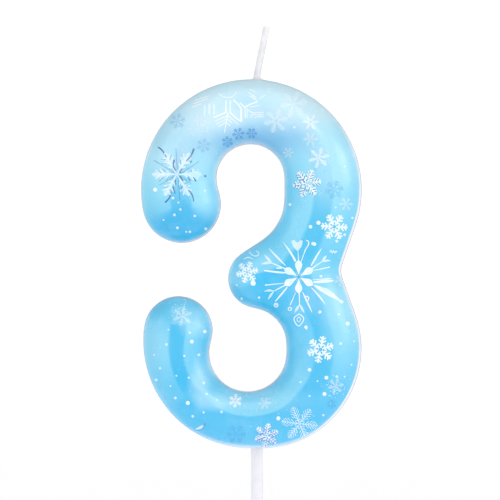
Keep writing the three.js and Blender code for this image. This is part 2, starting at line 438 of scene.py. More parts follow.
filmLook = {
    # share of the height, colour
    "drift": [
        (0.00, (0.075, 0.50, 0.82)),
        (0.27, (0.050, 0.49, 0.80)),
        (0.47, (0.035, 0.48, 0.79)),
        (0.62, (0.07, 0.50, 0.78)),
        (0.75, (0.18, 0.58, 0.81)),
        (0.86, (0.37, 0.67, 0.83)),
        (1.00, (0.60, 0.78, 0.87)),
    ],
    # Most patches are the print's own deep and pale clouds; some stand in for light, marked below as painted
    # highlight or painted shade.
    # across, height above the foot, half spans (all mm), colour, share
    "patches": [
        (-16.0, 45.2, 8.5, 4.5, (0.02, 0.41, 0.75), 0.75),
        (-0.5, 62.2, 10.0, 3.6, (0.12, 0.40, 0.70), 0.70),
        (-9.5, 68.5, 9.0, 4.5, (0.62, 0.80, 0.91), 0.65),
        (11.0, 69.5, 9.0, 5.0, (0.64, 0.80, 0.88), 0.60),
        (-18.0, 61.5, 4.0, 8.0, (0.40, 0.64, 0.82), 0.45),
        # painted highlight on the upper right's outer slope
        (15.0, 58.5, 5.0, 8.0, (0.44, 0.77, 0.89), 0.55),
        (8.5, 47.5, 4.0, 10.0, (0.07, 0.53, 0.82), 0.40),
        (-9.5, 52.0, 4.0, 5.0, (0.30, 0.68, 0.88), 0.50),
        (2.0, 33.5, 8.0, 4.0, (0.02, 0.47, 0.82), 0.65),
        (9.5, 27.5, 4.0, 8.5, (0.03, 0.48, 0.82), 0.55),
        # painted highlight on the right stroke's outer slope
        (17.5, 26.0, 3.8, 9.0, (0.36, 0.74, 0.88), 0.55),
        # painted shade along the crown low on the left
        (-15.5, 11.0, 4.5, 7.5, (0.02, 0.47, 0.80), 0.75),
        # painted highlight on the inner slope low on the left
        (-12.4, 25.6, 3.6, 2.8, (0.50, 0.80, 0.91), 0.36),
        (0.0, 10.2, 11.0, 2.4, (0.28, 0.66, 0.87), 0.45),
        (9.0, 21.0, 3.5, 6.0, (0.04, 0.50, 0.83), 0.40),
        (-21.0, 21.0, 3.0, 5.0, (0.22, 0.58, 0.82), 0.45),
        # painted highlight on the inner slope low on the left
        (-11.6, 12.8, 2.2, 4.2, (0.60, 0.84, 0.93), 0.36),
        (-8.0, 9.6, 4.0, 1.8, (0.50, 0.80, 0.91), 0.35),
    ],
    "warp": 1.6 * mm,
    "wander": 0.16,
    "wanderScale": 55,
    "hazeScale": 160.0,
    "paintedSheenScale": 60,
    "cloudScale": 70.0,
    "cloudShare": 0.22,
    # noise level where the cloud is full, colour
    "clouds": [(0.78, (0.72, 0.88, 0.96)), (0.22, (0.05, 0.42, 0.80))],
    # painted highlight on slopes that face up or to a side, where the lights fall, and a painted pale
    # reflection on the steep rim
    "paintedSheenColour": (0.46, 0.86, 0.95),
    "paintedSheenShare": 0.38,
    # tilts where the painted highlight starts and is full, then where it thins and to what
    "paintedSheenRise": (0.10, 0.18),
    "paintedSheenFall": (0.20, 0.65, 1.0, 0.7),
    "paintedSheenFacing": (-0.85, -0.05),
    "paintedSheenPatches": (0.35, 0.62, 0.5, 1.0),
    "paintedRimColour": (0.78, 0.86, 0.95),
    "paintedRimShare": 0.62,
    "paintedRimSlope": (0.62, 0.36),
    "paintedRimRight": (6 * mm, 14 * mm),
    "paintedRimLow": (foot + 9 * mm, foot + 4 * mm),
    "roughness": (0.20, 0.30),
    "coat": 0.35,
    "coatRoughness": 0.16,
    "peelScale": 900,
    "smudgeScale": 260,
}


# The print's colour, with a painted highlight band and a painted rim reflection laid over it
def filmColourGroup():
    tree = bpy.data.node_groups.new("filmColour", "ShaderNodeTree")
    tree.interface.new_socket("Colour", in_out="OUTPUT", socket_type="NodeSocketColor")
    finish = tree.nodes.new("NodeGroupOutput")
    place = objectPlace(tree)
    height = out(addNode(tree, "ShaderNodeSeparateXYZ", {0: place}), "Z")
    share = mathNode(tree, "MULTIPLY", mathNode(tree, "SUBTRACT", height, foot), 1 / (top - foot), True)
    drift = noiseAt(tree, place, filmLook["wanderScale"], 2)
    wander = times(tree, mathNode(tree, "SUBTRACT", drift, 0.5), filmLook["wander"])
    colour = ramp(tree, mathNode(tree, "ADD", share, wander), filmLook["drift"])
    haze = addNode(tree, "ShaderNodeTexNoise", {"Vector": place, "Scale": filmLook["hazeScale"],
                                                "Detail": 3.0})
    warp = vectorNode(tree, "SCALE", out(haze, "Color"))
    warp.node.inputs["Scale"].default_value = 2 * filmLook["warp"]
    warped = vectorNode(tree, "ADD", place, warp)
    for across, up, spanX, spanZ, tint, strength in filmLook["patches"]:
        centre = (across * mm + filmLook["warp"], 0, foot + up * mm + filmLook["warp"])
        away = vectorNode(tree, "SUBTRACT", warped, centre)
        scaled = vectorNode(tree, "MULTIPLY", away, (1 / (spanX * mm), 0, 1 / (spanZ * mm)))
        near = mapRange(tree, vectorNode(tree, "LENGTH", scaled), 1.5, 0.25, 0.0, strength)
        colour = mixColour(tree, near, colour, (*tint, 1))
    clouds = noiseAt(tree, place, filmLook["cloudScale"], 5, 0.6)
    for end, tint in filmLook["clouds"]:
        cloudy = mapRange(tree, clouds, 0.5, end, 0.0, filmLook["cloudShare"], smooth=False)
        colour = mixColour(tree, cloudy, colour, (*tint, 1))
    # painted highlight and painted rim reflection over the print
    colour = paintedSheenAndRim(tree, place, colour)
    tree.links.new(colour, finish.inputs[0])
    return tree


# Painted light from the shading normal: a painted highlight band with a crisp edge along the crown on every
# slope that doesn't face down, then a painted pale reflection on the steep rim, strongest round the figure's
# outside on the lower right.
def paintedSheenAndRim(tree, place, colour):
    faces = addNode(tree, "ShaderNodeSeparateXYZ", {0: out(addNode(tree, "ShaderNodeTexCoord"), "Normal")})
    where = addNode(tree, "ShaderNodeSeparateXYZ", {0: place})
    across, up = out(faces, "X"), out(faces, "Z")
    aside = times(tree, mathNode(tree, "ABSOLUTE", across), 0.9)
    tilt = mathNode(tree, "MAXIMUM", aside, up)
    squares = (mathNode(tree, "POWER", part, 2.0) for part in (across, up))
    flat = mathNode(tree, "SQRT", mathNode(tree, "ADD", *squares))
    upward = mathNode(tree, "DIVIDE", up, mathNode(tree, "MAXIMUM", flat, 0.02))
    facing = mapRange(tree, upward, *filmLook["paintedSheenFacing"])
    patchy = mapRange(tree, noiseAt(tree, place, filmLook["paintedSheenScale"], 2), *filmLook["paintedSheenPatches"])
    # painted highlight band along the crown
    band = times(tree, mapRange(tree, tilt, *filmLook["paintedSheenRise"]),
                 mapRange(tree, tilt, *filmLook["paintedSheenFall"]))
    share = times(tree, times(tree, band, patchy), times(tree, facing, filmLook["paintedSheenShare"]))
    colour = mixColour(tree, share, colour, (*filmLook["paintedSheenColour"], 1))
    # painted pale reflection on the steep rim, most round the lower right outside
    edge = mapRange(tree, mathNode(tree, "ABSOLUTE", out(faces, "Y")), *filmLook["paintedRimSlope"])
    towards = mathNode(tree, "SUBTRACT", times(tree, across, 0.8), times(tree, up, 0.6))
    outside = mathNode(tree, "MAXIMUM", mapRange(tree, out(where, "X"), *filmLook["paintedRimRight"]),
                       mapRange(tree, out(where, "Z"), *filmLook["paintedRimLow"]))
    spread = mathNode(tree, "ADD", 0.25, times(tree, outside, 0.75))
    side = times(tree, mapRange(tree, towards, -0.1, 0.5), spread)
    paintedRimMask = times(tree, edge, mathNode(tree, "MAXIMUM", side, 0.08))
    return mixColour(tree, times(tree, paintedRimMask, filmLook["paintedRimShare"]), colour, (*filmLook["paintedRimColour"], 1))


filmColour = filmColourGroup()


def filmColourIn(tree):
    node = addNode(tree, "ShaderNodeGroup", node_tree=filmColour)
    return out(node)


def glossy(tree, shader, place):
    peel = noiseAt(tree, place, filmLook["peelScale"], 2)
    roughnessFrom(tree, shader, noiseAt(tree, place, filmLook["smudgeScale"], 3), *filmLook["roughness"])
    bumpInto(tree, shader, peel, 0.02 * mm, 0.35)
    shader.inputs["IOR"].default_value = 1.48
    shader.inputs["Coat Weight"].default_value = filmLook["coat"]
    shader.inputs["Coat Roughness"].default_value = filmLook["coatRoughness"]


def filmMaterial():
    material, tree, shader = newMaterial("printedFilm")
    place = objectPlace(tree)
    tree.links.new(filmColourIn(tree), shader.inputs["Base Color"])
    glossy(tree, shader, place)
    return material


# The film is cut closer to the rim on the upper left than on the lower right, where it was laid
# a little off.
def makeFilm():
    early, late = (math.radians(figureShape[k]) for k in ("filmStart", "filmLateStart"))
    facing = np.clip(-(inward @ np.array(figureShape["filmShift"])), 0, 1)
    first, last = figureShape["shiftFrom"], figureShape["shiftTo"]
    rightward = (outline[:, 0] - first) / (last - first)
    facing *= 0.3 + 0.7 * np.clip(rightward, 0, 1)
    start = early + (late - early) * facing ** 1.3
    inside = figureShape["filmGap"]
    outside = inside + figureShape["filmThickness"]
    under = [domeRing(a, inside) for a in domeAngles(start, 12)][::-1]
    over = [domeRing(a, outside) for a in domeAngles(start, figureShape["domeRings"])]
    return finishMesh(skin("print_film", under + over), 40)


film = makeFilm()
dress(film, filmMaterial(), "figure")
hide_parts("printed_film")
print("film has", len(film.data.polygons), "faces")


# The stick: a drawn white plastic rod with a faint seam and drawing lines along it

stickShape = {
    "sides": 72,
    "chamfer": 0.2 * mm,
    "seamAt": 37.0,
    "seamDepth": 0.05 * mm,
    "seamWidth": 7.0,
    "colour": (0.80, 0.79, 0.84),
    "speckColour": (0.84, 0.83, 0.87),
    "lineScale": 3500,
    "speckScale": 700,
    "roughness": (0.30, 0.40),
}


def makeStick():
    low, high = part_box("stick")
    radius = high.x
    inset = stickShape["chamfer"]
    profile = [(0, low.z), (radius - inset, low.z)]
    for part in np.linspace(0, math.pi / 2, 5):
        profile.append((radius - inset + inset * math.sin(part), low.z + inset * (1 - math.cos(part))))
    for share in np.linspace(0, 1, 30)[1:-1]:
        profile.append((radius, low.z + inset + (high.z - low.z - 2 * inset) * share))
    for part in np.linspace(0, math.pi / 2, 5):
        profile.append((radius - inset + inset * math.cos(part), high.z - inset * (1 - math.sin(part))))
    profile += [(radius - inset, high.z), (0, high.z)]
    rod = turned("stick_rod", profile, stickShape["sides"])
    seam = math.radians(-stickShape["seamAt"])
    for vertex in rod.data.vertices:
        angle = math.atan2(vertex.co.y, vertex.co.x)
        apart = abs(math.remainder(angle - seam, 2 * math.pi)) / math.radians(stickShape["seamWidth"])
        if apart < 1 and math.hypot(vertex.co.x, vertex.co.y) > 0.5 * mm:
            sink = stickShape["seamDepth"] * (1 + math.cos(math.pi * apart)) / 2
            vertex.co.xy *= 1 - sink / radius
    return finishMesh(rod, 50)


def stickMaterial():
    material, tree, shader = newMaterial("drawnPlastic")
    place = objectPlace(tree)
    lines = noiseAt(tree, vectorNode(tree, "MULTIPLY", place, (1, 1, 0.01)), stickShape["lineScale"], 2)
    specks = noiseAt(tree, place, stickShape["speckScale"], 3)
    tree.links.new(ramp(tree, specks, [(0.35, stickShape["colour"]), (0.75, stickShape["speckColour"])]),
                   shader.inputs["Base Color"])
    roughnessFrom(tree, shader, lines, *stickShape["roughness"])
    height = mathNode(tree, "ADD", lines, times(tree, specks, 0.4))
    bumpInto(tree, shader, height, 0.012 * mm, 0.5)
    giveDepth(shader, 0.15, (1, 1, 1), 0.5 * mm)
    return material


stickRod = makeStick()
dress(stickRod, stickMaterial(), "stick")
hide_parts("stick")
print("stick made")


# The wax collar that the mould leaves round the socket, and the skirt of wax round the wick's root

collars = {
    # inner radius, outer radius, rise
    "socket": (1.36 * mm, 2.3 * mm, 0.14 * mm),
    "wick": (0.60 * mm, 1.9 * mm, 0.42 * mm),
    "sunk": 0.9 * mm,
    "lip": 0.08 * mm,
    "fall": 0.12 * mm,
    "hollow": 2.2,
    "rings": 9,
    "sides": 48,
}


# A ring of wax from its inner wall round to its sunk foot, turned up (side 1) or down (side -1).
def waxCollar(name, measures, level, side):
    inner, outer, rise = measures
    sunk, lip = level - side * collars["sunk"], inner + collars["lip"]
    profile = [(inner, sunk), (inner, level + side * rise * 0.9)]
    for part in np.linspace(0, 1, collars["rings"]):
        height = rise * (1 - part) ** collars["hollow"] - collars["fall"] * part
        profile.append((lip + (outer - lip) * part, level + side * height))
    profile += [(outer, sunk), (inner, sunk)]
    return finishMesh(turned(name, profile, collars["sides"]), 60)


socketCollar = waxCollar("socket_collar", collars["socket"], foot, -1)
wickSkirt = waxCollar("wick_skirt", collars["wick"], top, 1)
collarWax = waxMaterial("collarWax", 0.0)
for collar in (socketCollar, wickSkirt):
    dress(collar, collarWax, "figure")


# Geometry Nodes trees

def newTree(name, inputs):
    tree = bpy.data.node_groups.new(name, "GeometryNodeTree")
    tree.interface.new_socket("Geometry", in_out="INPUT", socket_type="NodeSocketGeometry")
    for label, kind in inputs:
        tree.interface.new_socket(label, in_out="INPUT", socket_type=kind)
    tree.interface.new_socket("Geometry", in_out="OUTPUT", socket_type="NodeSocketGeometry")
    return tree, tree.nodes.new("NodeGroupInput"), tree.nodes.new("NodeGroupOutput")


# A number that each point carries under a name.
def carried(tree, name):
    return out(addNode(tree, "GeometryNodeInputNamedAttribute", {"Name": name}, data_type="FLOAT"))


def asInstances(tree, points, shape, **places):
    wires = {"Points": points, "Instance": shape, **places}
    return out(addNode(tree, "GeometryNodeInstanceOnPoints", wires))


def realized(tree, geometry):
    return out(addNode(tree, "GeometryNodeRealizeInstances", {"Geometry": geometry}))


def inMaterial(tree, geometry, material):
    return out(addNode(tree, "GeometryNodeSetMaterial", {"Geometry": geometry, "Material": material}))


# Runs a tree on an object and keeps the result as a plain mesh piece. The object itself goes.
def growPiece(source, tree, values, name):
    modifier = source.modifiers.new(tree.name, "NODES")
    modifier.node_group = tree
    for item in tree.interface.items_tree:
        if item.item_type == "SOCKET" and item.in_out == "INPUT" and item.name in values:
            modifier[item.identifier] = values[item.name]
    bpy.context.view_layer.update()
    shape = bpy.data.meshes.new_from_object(source.evaluated_get(bpy.context.evaluated_depsgraph_get()))
    removeObject(source)
    shape.name = name
    piece = bpy.data.objects.new(name, shape)
    bpy.context.scene.collection.objects.link(piece)
    return piece


# The wick: a cotton braid of two sets of strands that pass over and under, in a sleeve of clear pale wax

wickShape = {
    "lean": 11.1,
    "pivotRise": 0.8 * mm,
    "length": 10.15 * mm,
    "rootSunk": 1.2 * mm,
    "strandsEachWay": 4,
    "braidRadius": 0.46 * mm,
    "strandRadius": 0.125 * mm,
    "pitch": 3.4 * mm,
    "coreRadius": 0.30 * mm,
    "sleeveInner": 0.515 * mm,
    "sleeveOuter": 0.74 * mm,
    "sleeveRibs": 0.018 * mm,
    "sleeveSides": 48,
    "ribStep": 0.85 * mm,
    "weave": 0.03 * mm,
    "cottonColour": (0.80, 0.78, 0.74),
    "fibreColour": (0.66, 0.64, 0.60),
    "sleeveColour": (0.88, 0.88, 0.89),
    "sleeveShade": (0.74, 0.74, 0.77),
    "sleeveRoughness": (0.28, 0.42),
    "fibreScale": 9000,
    "waxScale": 1600,
}
pivot = Vector((0, 0, top + wickShape["pivotRise"]))


# One strand is a helix. Copies go round, half of them the other way, and each rises and dips as it crosses.
def braidTree():
    tree, given, finish = newTree("cottonBraid", [
        ("Strands Each Way", "NodeSocketInt"), ("Orbit", "NodeSocketFloat"),
        ("Strand Radius", "NodeSocketFloat"), ("Turns", "NodeSocketFloat"), ("Length", "NodeSocketFloat"),
        ("Rise And Dip", "NodeSocketFloat"), ("Cotton", "NodeSocketMaterial")])
    strands, turns, length = (out(given, label) for label in ("Strands Each Way", "Turns", "Length"))
    both = addNode(tree, "GeometryNodeJoinGeometry")
    for way in (1, -1):
        helix = addNode(tree, "GeometryNodeCurveSpiral", {
            "Resolution": 40, "Rotations": turns, "Start Radius": out(given, "Orbit"),
            "End Radius": out(given, "Orbit"), "Height": length, "Reverse": way < 0})
        places = addNode(tree, "GeometryNodePoints", {"Count": strands, "Position": (0, 0, 0)})
        number = out(addNode(tree, "GeometryNodeInputIndex"))
        step = mathNode(tree, "DIVIDE", 2 * math.pi, strands)
        turn = addNode(tree, "ShaderNodeCombineXYZ", {"Z": times(tree, number, step)})
        copies = asInstances(tree, out(places), out(helix), Rotation=out(turn))
        spot = out(addNode(tree, "GeometryNodeInputPosition"))
        height = out(addNode(tree, "ShaderNodeSeparateXYZ", {0: spot}), "Z")
        crossings = times(tree, times(tree, turns, 2 * math.pi), strands)
        phase = times(tree, mathNode(tree, "DIVIDE", height, length), crossings)
        swing = times(tree, mathNode(tree, "SINE", phase), way)
        outward = vectorNode(tree, "NORMALIZE", vectorNode(tree, "MULTIPLY", spot, (1, 1, 0)))
        reach = times(tree, swing, out(given, "Rise And Dip"))
        shift = addNode(tree, "ShaderNodeVectorMath", {0: outward, "Scale": reach}, operation="SCALE")
        woven = addNode(tree, "GeometryNodeSetPosition", {"Geometry": realized(tree, copies),
                                                          "Offset": out(shift)})
        tree.links.new(out(woven), both.inputs[0])
    ring = addNode(tree, "GeometryNodeCurvePrimitiveCircle", {"Resolution": 7,
                                                              "Radius": out(given, "Strand Radius")})
    tubes = addNode(tree, "GeometryNodeCurveToMesh", {"Curve": out(both), "Profile Curve": out(ring),
                                                      "Fill Caps": True})
    tree.links.new(inMaterial(tree, realized(tree, out(tubes)), out(given, "Cotton")), finish.inputs[0])
    return tree


# Leans a straight upright piece to the right, turning smoothly about the wick's pivot.
def leanPiece(piece):
    for vertex in piece.data.vertices:
        share = min(1, max(0, (vertex.co.z - pivot.z + 0.5 * mm) / (1.0 * mm)))
        angle = math.radians(wickShape["lean"]) * share * share * (3 - 2 * share)
        vertex.co = pivot + Matrix.Rotation(angle, 3, "Y") @ (vertex.co - pivot)


def cottonMaterial():
    material, tree, shader = newMaterial("cottonStrand")
    place = objectPlace(tree)
    fibres = noiseAt(tree, vectorNode(tree, "MULTIPLY", place, (1, 1, 0.3)), wickShape["fibreScale"], 3)
    tree.links.new(ramp(tree, fibres, [(0.3, wickShape["fibreColour"]), (0.7, wickShape["cottonColour"])]),
                   shader.inputs["Base Color"])
    shader.inputs["Roughness"].default_value = 0.85
    shader.inputs["Sheen Weight"].default_value = 0.3
    bumpInto(tree, shader, fibres, 0.02 * mm, 0.7)
    return material


def sleeveMaterial():
    material, tree, shader = newMaterial("wickWax")
    place = objectPlace(tree)
    clouds = noiseAt(tree, vectorNode(tree, "MULTIPLY", place, (1, 1, 0.35)), wickShape["waxScale"], 3)
    tree.links.new(ramp(tree, clouds, [(0.3, wickShape["sleeveShade"]), (0.7, wickShape["sleeveColour"])]),
                   shader.inputs["Base Color"])
    roughnessFrom(tree, shader, clouds, *wickShape["sleeveRoughness"])
    bumpInto(tree, shader, clouds, 0.03 * mm, 0.5)
    giveDepth(shader, 0.35, (1, 1, 1), 0.4 * mm)
    return material


def makeWick():
    ends = (top - wickShape["rootSunk"], pivot.z + wickShape["length"])
    seed = meshObject("braidSeed", [(0, 0, 0)], [])
    cotton = cottonMaterial()
    orbit = wickShape["braidRadius"] - wickShape["strandRadius"] - wickShape["weave"]
    length = ends[1] - ends[0] - 0.06 * mm
    braid = growPiece(seed, braidTree(), {
        "Strands Each Way": wickShape["strandsEachWay"], "Orbit": orbit, "Length": length,
        "Strand Radius": wickShape["strandRadius"], "Turns": length / wickShape["pitch"],
        "Rise And Dip": wickShape["weave"], "Cotton": cotton}, "wick_cotton")
    braid.data.transform(Matrix.Translation((0, 0, ends[0])))
    core = wickShape["coreRadius"]
    coreTop = ends[1] - 0.12 * mm
    coreLine = [(core, z) for z in np.linspace(ends[0], coreTop, 30)[1:]]
    heart = turned("braidCore", [(0, ends[0]), (core, ends[0]), *coreLine, (0, coreTop)], 12)
    work = bmesh.new()
    work.from_mesh(braid.data)
    work.from_mesh(heart.data)
    work.to_mesh(braid.data)
    work.free()
    removeObject(heart)
    finishMesh(braid, 60)
    inner, outer, ribs = (wickShape[k] for k in ("sleeveInner", "sleeveOuter", "sleeveRibs"))
    base, tip = top - 0.5 * mm, ends[1] + 0.04 * mm
    bevel = 0.05 * mm
    heights = np.linspace(base, tip - bevel, 90)
    profile = [(inner, base), *((outer, z) for z in heights), (outer - bevel, tip)]
    profile += [(inner + 0.02 * mm, tip), *((inner, z) for z in heights[::-3]), (inner, base)]
    sleeve = turned("wick_sleeve", profile, wickShape["sleeveSides"])
    for vertex in sleeve.data.vertices:
        radius = math.hypot(vertex.co.x, vertex.co.y)
        if radius > inner + 0.1 * mm:
            around = wickShape["strandsEachWay"] * math.atan2(vertex.co.y, vertex.co.x)
            along = 2 * math.pi * vertex.co.z / wickShape["ribStep"]
            wave = math.sin(around + along) + math.sin(around - along)
            vertex.co.xy *= 1 + ribs * (wave / 2 - 1) / outer
    finishMesh(sleeve, 50)
    start, end = Vector((0, 0, top - 0.3 * mm)), Vector((0, 0, pivot.z + 1.2 * mm))
    for piece, material, slotName in ((braid, cotton, "cotton"), (sleeve, sleeveMaterial(), "wick_wax")):
        leanPiece(piece)
        dress(piece, material)
        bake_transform(piece, "figure", "wick", start, end)
    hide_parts("wick_root", "wick_braid")
    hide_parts("wick_coat")
    print("wick made")


makeWick()


# The printed snow: inks laid on the film as very thin slabs, cut off where the film ends

printShape = {
    "lift": 0.008 * mm,
    "speckLift": 0.008 * mm,
    "layerLift": 0.006 * mm,
    "thickness": 0.014 * mm,
    "step": 0.32 * mm,
    "join": 0.001 * mm,
    "sharpDegrees": 40,
    "white": (0.90, 0.95, 0.97),
    "slate": (0.035, 0.11, 0.34),
    "blue": (0.03, 0.26, 0.64),
    "violet": (0.14, 0.20, 0.58),
    "patchScale": 700,
    # colour, and how much of it covers the film's own
    "inks": {
        "white": ("white", 0.86),
        "frost": ("white", 0.62),
        "mist": ("white", 0.38),
        "slate": ("slate", 0.85),
        "steel": ("slate", 0.45),
        "blue": ("blue", 0.30),
        "navy": ("blue", 0.78),
        "violet": ("violet", 0.8),
    },
}


# Inks are opaque white, white thinned over the film's colour, deep blue over it, and slate.
def inkMaterial(name, colour, cover):
    material, tree, shader = newMaterial(name)
    place = objectPlace(tree)
    thin, full = cover * 0.82, min(1, cover * 1.1)
    patches = noiseAt(tree, place, printShape["patchScale"], 3)
    share = ramp(tree, patches, [(0.3, (thin,) * 3), (0.7, (full,) * 3)])
    tree.links.new(mixColour(tree, share, filmColourIn(tree), (*colour, 1)), shader.inputs["Base Color"])
    glossy(tree, shader, place)
    return material


inks = {name: inkMaterial(name + "Ink", printShape[colour], cover)
        for name, (colour, cover) in printShape["inks"].items()}
inkInputs = [("Film", "NodeSocketObject"), ("Lift", "NodeSocketFloat"), ("Thickness", "NodeSocketFloat"),
             ("Ink", "NodeSocketMaterial")]


# Turns flat faces in X and Y to face the front, drops them onto the film and gives them a thickness.
def layOnFilmGroup():
    tree, given, finish = newTree("layOnFilm", inkInputs)
    upright = addNode(tree, "GeometryNodeTransform", {"Geometry": out(given),
                                                      "Rotation": (math.pi / 2, 0, 0)})
    target = addNode(tree, "GeometryNodeObjectInfo", {"Object": out(given, "Film")},
                     transform_space="ORIGINAL")
    spot = out(addNode(tree, "GeometryNodeInputPosition"))
    before = vectorNode(tree, "ADD", vectorNode(tree, "MULTIPLY", spot, (1, 0, 1)), (0, -0.05, 0))
    ray = addNode(tree, "GeometryNodeRaycast", {
        "Target Geometry": out(target, "Geometry"), "Ray Length": 0.1, "Source Position": before,
        "Ray Direction": (0, 1, 0)})
    missed = addNode(tree, "FunctionNodeBooleanMath", {0: out(ray, "Is Hit")}, operation="NOT")
    kept = addNode(tree, "GeometryNodeDeleteGeometry", {"Geometry": out(upright), "Selection": out(missed)},
                   domain="POINT")
    raised = addNode(tree, "ShaderNodeVectorMath", {0: out(ray, "Hit Normal"), "Scale": out(given, "Lift")},
                     operation="SCALE")
    landed = vectorNode(tree, "ADD", out(ray, "Hit Position"), out(raised))
    # overlapping strokes lie at slightly different heights
    forward = times(tree, carried(tree, "layer"), -printShape["layerLift"])
    layered = vectorNode(tree, "ADD", landed, out(addNode(tree, "ShaderNodeCombineXYZ", {"Y": forward})))
    laid = out(addNode(tree, "GeometryNodeSetPosition", {"Geometry": out(kept), "Position": layered}))
    thick = addNode(tree, "GeometryNodeExtrudeMesh", {
        "Mesh": laid, "Offset": (0, -1, 0), "Offset Scale": out(given, "Thickness"), "Individual": False})
    base = addNode(tree, "GeometryNodeFlipFaces", {"Mesh": laid})
    whole = addNode(tree, "GeometryNodeJoinGeometry")
    tree.links.new(out(thick), whole.inputs[0])
    tree.links.new(out(base), whole.inputs[0])
    joined = addNode(tree, "GeometryNodeMergeByDistance", {"Geometry": out(whole),
                                                           "Distance": printShape["join"]})
    tree.links.new(inMaterial(tree, out(joined), out(given, "Ink")), finish.inputs[0])
    return tree


layOnFilm = layOnFilmGroup()


# Puts copies of the flat geometry on the seed's points, turned and sized by each point's own values.
def scatterOn(tree, seeds, geometry):
    spin = addNode(tree, "ShaderNodeCombineXYZ", {"Z": carried(tree, "turn")})
    copies = asInstances(tree, seeds, geometry, Rotation=out(spin), Scale=carried(tree, "size"))
    return realized(tree, copies)


# Lays flat shapes on the film with the tree's own ink, and ends the tree.
def layAndFinish(tree, given, finish, shapes):
    wires = {label: out(given, label) for label, kind in inkInputs}
    laid = addNode(tree, "GeometryNodeGroup", {"Geometry": shapes, **wires}, node_tree=layOnFilm)
    tree.links.new(inMaterial(tree, realized(tree, out(laid)), out(given, "Ink")), finish.inputs[0])
    return tree


# A flake: one drawn arm, repeated round its centre, scattered, and swept into flat strokes.
def flakeTree():
    tree, given, finish = newTree("flakePrint", [
        ("Arm", "NodeSocketObject"), ("Arms", "NodeSocketInt"), ("Step", "NodeSocketFloat")] + inkInputs)
    arm = addNode(tree, "GeometryNodeObjectInfo", {"Object": out(given, "Arm")}, transform_space="ORIGINAL")
    centres = addNode(tree, "GeometryNodePoints", {"Count": out(given, "Arms"), "Position": (0, 0, 0)})
    step = mathNode(tree, "DIVIDE", 2 * math.pi, out(given, "Arms"))
    number = out(addNode(tree, "GeometryNodeInputIndex"))
    turn = addNode(tree, "ShaderNodeCombineXYZ", {"Z": times(tree, number, step)})
    star = asInstances(tree, out(centres), out(arm, "Geometry"), Rotation=out(turn))
    flakes = scatterOn(tree, out(given), realized(tree, star))
    lines = addNode(tree, "GeometryNodeMeshToCurve", {"Mesh": flakes})
    smooth = addNode(tree, "GeometryNodeCurveSplineType", {"Curve": out(lines)}, spline_type="CATMULL_ROM")
    flat = addNode(tree, "GeometryNodeSetCurveNormal", {"Curve": out(smooth)})
    flat.mode = "Z_UP"
    anyHeight = addNode(tree, "FunctionNodeRandomValue", {"Min": 0.0, "Max": 1.0, "Seed": 7},
                        data_type="FLOAT")
    layered = addNode(tree, "GeometryNodeStoreNamedAttribute", {
        "Geometry": out(flat), "Name": "layer", "Value": out(anyHeight, "Value")},
        data_type="FLOAT", domain="CURVE")
    width = times(tree, carried(tree, "halfWidth"), carried(tree, "size"))
    drawn = addNode(tree, "GeometryNodeStoreNamedAttribute", {
        "Geometry": out(layered), "Name": "reach", "Value": width}, data_type="FLOAT", domain="POINT")
    fine = addNode(tree, "GeometryNodeResampleCurve", {"Curve": out(drawn)})
    fine.mode = "LENGTH"
    tree.links.new(out(given, "Step"), socketOf(fine.inputs, "Length"))
    nib = addNode(tree, "GeometryNodeCurvePrimitiveLine", {"Start": (-1, 0, 0), "End": (1, 0, 0)})
    swept = addNode(tree, "GeometryNodeCurveToMesh", {"Curve": out(fine), "Profile Curve": out(nib),
                                                      "Scale": carried(tree, "reach")})
    return layAndFinish(tree, given, finish, out(swept))


# Round specks of ink scattered on points.
def speckTree():
    tree, given, finish = newTree("speckPrint", [("Sides", "NodeSocketInt")] + inkInputs)
    disc = addNode(tree, "GeometryNodeMeshCircle", {"Vertices": out(given, "Sides"), "Radius": 1.0},
                   fill_type="TRIANGLE_FAN")
    return layAndFinish(tree, given, finish, scatterOn(tree, out(given), out(disc)))


flakePrint = flakeTree()
speckPrint = speckTree()


# Seed points carry a size and a turn. Spots are (across, up from the foot, size, turn in degrees) in mm.
def seedPoints(name, spots):
    places = [(across * mm, foot + up * mm, 0) for across, up, size, turn in spots]
    seed = meshObject(name, places, [])
    sizes = seed.data.attributes.new("size", "FLOAT", "POINT")
    sizes.data.foreach_set("value", [size * mm for across, up, size, turn in spots])
    turns = seed.data.attributes.new("turn", "FLOAT", "POINT")
    turns.data.foreach_set("value", [math.radians(turn) for across, up, size, turn in spots])
    return seed


# A drawing is a list of strokes. A stroke is its points and its half widths, spread evenly along it.
def drawing(name, strokes):
    points, edges, halves = [], [], []
    for line, widths in strokes:
        first = len(points)
        widths = widths if isinstance(widths, (tuple, list)) else (widths,)
        for i, (x, y) in enumerate(line):
            points.append((x, y, 0))
            share = i / (len(line) - 1) * (len(widths) - 1)
            halves.append(float(np.interp(share, range(len(widths)), widths)))
        edges += [(first + i, first + i + 1) for i in range(len(line) - 1)]
    sheet = meshObject(name, points, [], edges)
    values = sheet.data.attributes.new("halfWidth", "FLOAT", "POINT")
    values.data.foreach_set("value", halves)
    return sheet


# Grows a printed piece on its seed points, then leaves only its mesh and its ink.
def printPiece(name, ink, spots, tree, values, lift=0.0):
    values = {**values, "Film": film, "Lift": printShape["lift"] + lift,
              "Thickness": printShape["thickness"], "Ink": inks[ink]}
    piece = growPiece(seedPoints(name + "Seed", spots), tree, values, name)
    used = ("size", "turn", "layer", "reach", "halfWidth")
    for label in [a.name for a in piece.data.attributes if a.name in used]:
        piece.data.attributes.remove(piece.data.attributes[label])
    piece.data.polygons.foreach_set("use_smooth", [True] * len(piece.data.polygons))
    piece.data.set_sharp_from_angle(angle=math.radians(printShape["sharpDegrees"]))
    dress(piece, inks[ink], "figure")
    print(piece.name, len(piece.data.polygons), "faces")


